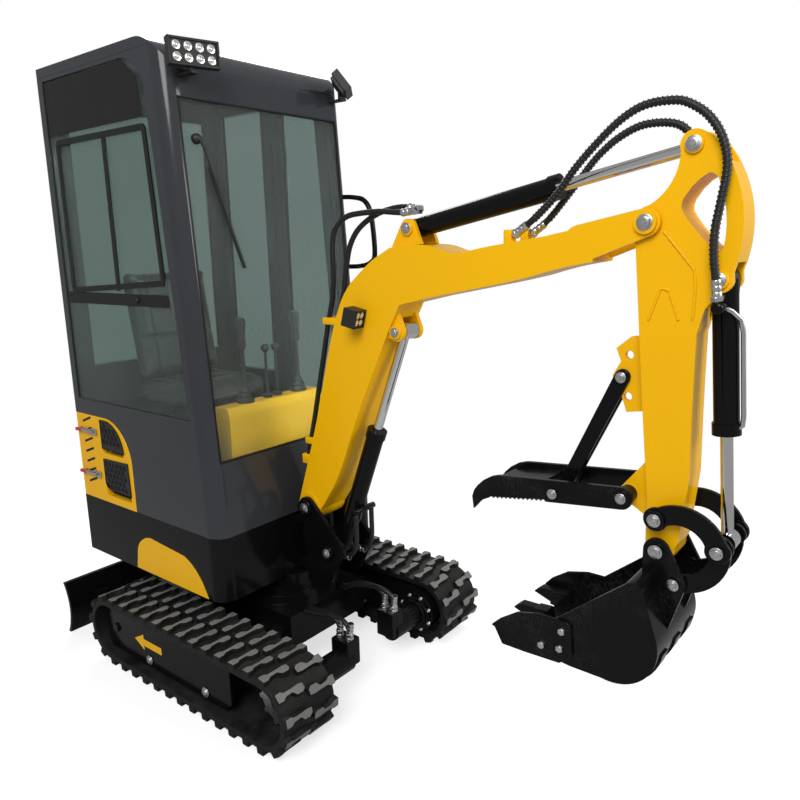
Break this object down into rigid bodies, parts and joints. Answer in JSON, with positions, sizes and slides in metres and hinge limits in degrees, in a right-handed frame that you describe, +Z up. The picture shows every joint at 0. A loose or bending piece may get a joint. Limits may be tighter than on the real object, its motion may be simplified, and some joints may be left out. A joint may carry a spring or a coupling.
{
  "type": "mini excavator",
  "caption": "Compact tracked excavator with an enclosed cab, rubber tracks, rear dozer blade, swing boom, arm, and a digging bucket facing a bolted thumb.",
  "frame": {"origin": "on the ground under the slew axis, midway between the tracks", "axes": "+X forward along the boom at rest, +Y to the operator's left, +Z up"},
  "size_m": [2.4914, 1.076, 2.25],
  "materials": {
    "yellow_paint": "gloss warm yellow paint",
    "grey_paint": "gloss dark slate grey paint",
    "black_paint": "gloss black paint",
    "rubber": "dull black rubber",
    "steel": "plain steel",
    "chrome_rod": "polished chrome",
    "tinted_glass": "green tinted safety glass",
    "black_plastic": "moulded black plastic",
    "seat_cover": "black coated fabric",
    "engine_metal": "dark cast metal"
  },
  "bodies": {
    "undercarriage": {"lower_frame": "black_paint", "track_frames": "black_paint", "track_right": "rubber", "track_left": "rubber", "sprockets": "steel", "idlers": "black_paint", "track_rollers": "steel", "travel_motors": "black_paint", "slew_ring": "steel"},
    "blade": {"blade": "black_paint"},
    "blade_barrel": {"blade_barrel": "black_paint"},
    "blade_rod": {"blade_rod": "chrome_rod"},
    "house": {"platform": "black_paint", "engine_block": "engine_metal", "cab_floor": "black_paint", "cab_right_panel": "grey_paint", "cab_left_panel": "grey_paint", "cab_front_frame": "grey_paint", "cab_rear_panel": "grey_paint", "cab_roof": "grey_paint", "windscreen": "tinted_glass", "right_window": "tinted_glass", "left_window": "tinted_glass", "rear_window": "tinted_glass", "engine_cover": "yellow_paint", "side_grilles": "black_paint", "seat": "seat_cover", "control_levers": "black_plastic", "work_lamps": "black_plastic", "grab_handle": "black_paint", "hinge_brackets": "black_paint"},
    "engine_door": {"engine_door": "yellow_paint"},
    "cab_door": {"cab_door": "grey_paint", "door_glass": "tinted_glass"},
    "swing_post": {"swing_post": "black_paint"},
    "boom": {"boom": "yellow_paint", "boom_lamp": "black_plastic"},
    "boom_barrel": {"boom_barrel": "black_paint"},
    "boom_rod": {"boom_rod": "chrome_rod"},
    "arm": {"arm": "yellow_paint", "thumb": "black_paint", "thumb_strut": "black_paint"},
    "arm_barrel": {"arm_barrel": "black_paint"},
    "arm_rod": {"arm_rod": "chrome_rod"},
    "bucket_barrel": {"bucket_barrel": "black_paint"},
    "bucket_rod": {"bucket_rod": "chrome_rod"},
    "rocker": {"rocker": "black_paint"},
    "bucket_link": {"bucket_link": "black_paint"},
    "bucket": {"bucket": "black_paint", "bucket_edge": "black_paint"}
  },
  "joints": [
    {"name": "slew", "type": "hinge", "parent": "undercarriage", "child": "house", "pos_m": [0, 0, 0.33], "axis": [0, 0, 1], "continuous": true},
    {"name": "blade_lift", "type": "hinge", "parent": "undercarriage", "child": "blade", "pos_m": [-0.29, 0, 0.15], "axis": [0, 1, 0], "range_deg": [-9, 12]},
    {"name": "blade_barrel_tilt", "type": "hinge", "parent": "undercarriage", "child": "blade_barrel", "pos_m": [-0.268, 0, 0.262], "axis": [0, 1, 0], "range_deg": [-8.47, 10.96]},
    {"name": "blade_rod_stroke", "type": "slide", "parent": "blade_barrel", "child": "blade_rod", "axis": [-0.95, 0, -0.3123], "range_m": [-0.0259, 0.0207]},
    {"name": "engine_door_open", "type": "hinge", "parent": "house", "child": "engine_door", "pos_m": [-0.757, 0.372, 0.78], "axis": [0, 0, -1], "range_deg": [0, 100]},
    {"name": "cab_door_open", "type": "hinge", "parent": "house", "child": "cab_door", "pos_m": [-0.357, 0.415, 1.3], "axis": [0, 0, 1], "range_deg": [0, 105]},
    {"name": "boom_swing", "type": "hinge", "parent": "house", "child": "swing_post", "pos_m": [0.205, 0, 0.485], "axis": [0, 0, 1], "range_deg": [-50, 50]},
    {"name": "boom_lift", "type": "hinge", "parent": "swing_post", "child": "boom", "pos_m": [0.23, 0, 0.655], "axis": [0, -1, 0], "range_deg": [-71, 18]},
    {"name": "boom_rod_tilt", "type": "hinge", "parent": "boom", "child": "boom_rod", "pos_m": [0.64801, 0, 1.318], "axis": [0, -1, 0], "range_deg": [-1.54, 3.13]},
    {"name": "boom_barrel_stroke", "type": "slide", "parent": "boom_rod", "child": "boom_barrel", "axis": [-0.3609, 0, -0.9326], "range_m": [-0.2095, 0.0568]},
    {"name": "arm_fold", "type": "hinge", "parent": "boom", "child": "arm", "pos_m": [1.435, 0, 1.628], "axis": [0, 1, 0], "range_deg": [-70, 22]},
    {"name": "arm_barrel_tilt", "type": "hinge", "parent": "boom", "child": "arm_barrel", "pos_m": [0.69899, 0, 1.63705], "axis": [0, 1, 0], "range_deg": [-5.2, 2.32]},
    {"name": "arm_rod_stroke", "type": "slide", "parent": "arm_barrel", "child": "arm_rod", "axis": [0.9817, 0, 0.1906], "range_m": [-0.2225, 0.0733]},
    {"name": "bucket_curl", "type": "hinge", "parent": "arm", "child": "bucket", "pos_m": [1.504, 0, 0.806], "axis": [0, 1, 0], "range_deg": [-105, 35]},
    {"name": "rocker_turn", "type": "hinge", "parent": "arm", "child": "rocker", "pos_m": [1.502, 0, 0.896], "axis": [0, 1, 0], "range_deg": [-69.25, 23.75]},
    {"name": "link_turn", "type": "hinge", "parent": "bucket", "child": "bucket_link", "pos_m": [1.552, 0, 0.728], "axis": [0, 1, 0], "range_deg": [-24.8, 72.4]},
    {"name": "bucket_barrel_tilt", "type": "hinge", "parent": "arm", "child": "bucket_barrel", "pos_m": [1.607, 0, 1.492], "axis": [0, 1, 0], "range_deg": [-2.05, 4.15]},
    {"name": "bucket_rod_stroke", "type": "slide", "parent": "bucket_barrel", "child": "bucket_rod", "axis": [0.0741, 0, -0.9973], "range_m": [-0.1791, 0.063]}
  ],
  "couplings": [
    {"joint": "blade_barrel_tilt", "follows": "blade_lift", "ratio": 0.83},
    {"joint": "blade_rod_stroke", "follows": "blade_lift", "m_per_rad": -0.1},
    {"joint": "boom_rod_tilt", "follows": "boom_lift", "ratio": -0.03},
    {"joint": "boom_barrel_stroke", "follows": "boom_lift", "m_per_rad": 0.165},
    {"joint": "arm_barrel_tilt", "follows": "arm_fold", "ratio": 0.06},
    {"joint": "arm_rod_stroke", "follows": "arm_fold", "m_per_rad": 0.178},
    {"joint": "rocker_turn", "follows": "bucket_curl", "ratio": 0.65},
    {"joint": "link_turn", "follows": "bucket_curl", "ratio": -0.68},
    {"joint": "bucket_barrel_tilt", "follows": "bucket_curl", "ratio": -0.03},
    {"joint": "bucket_rod_stroke", "follows": "bucket_curl", "m_per_rad": 0.095}
  ]
}
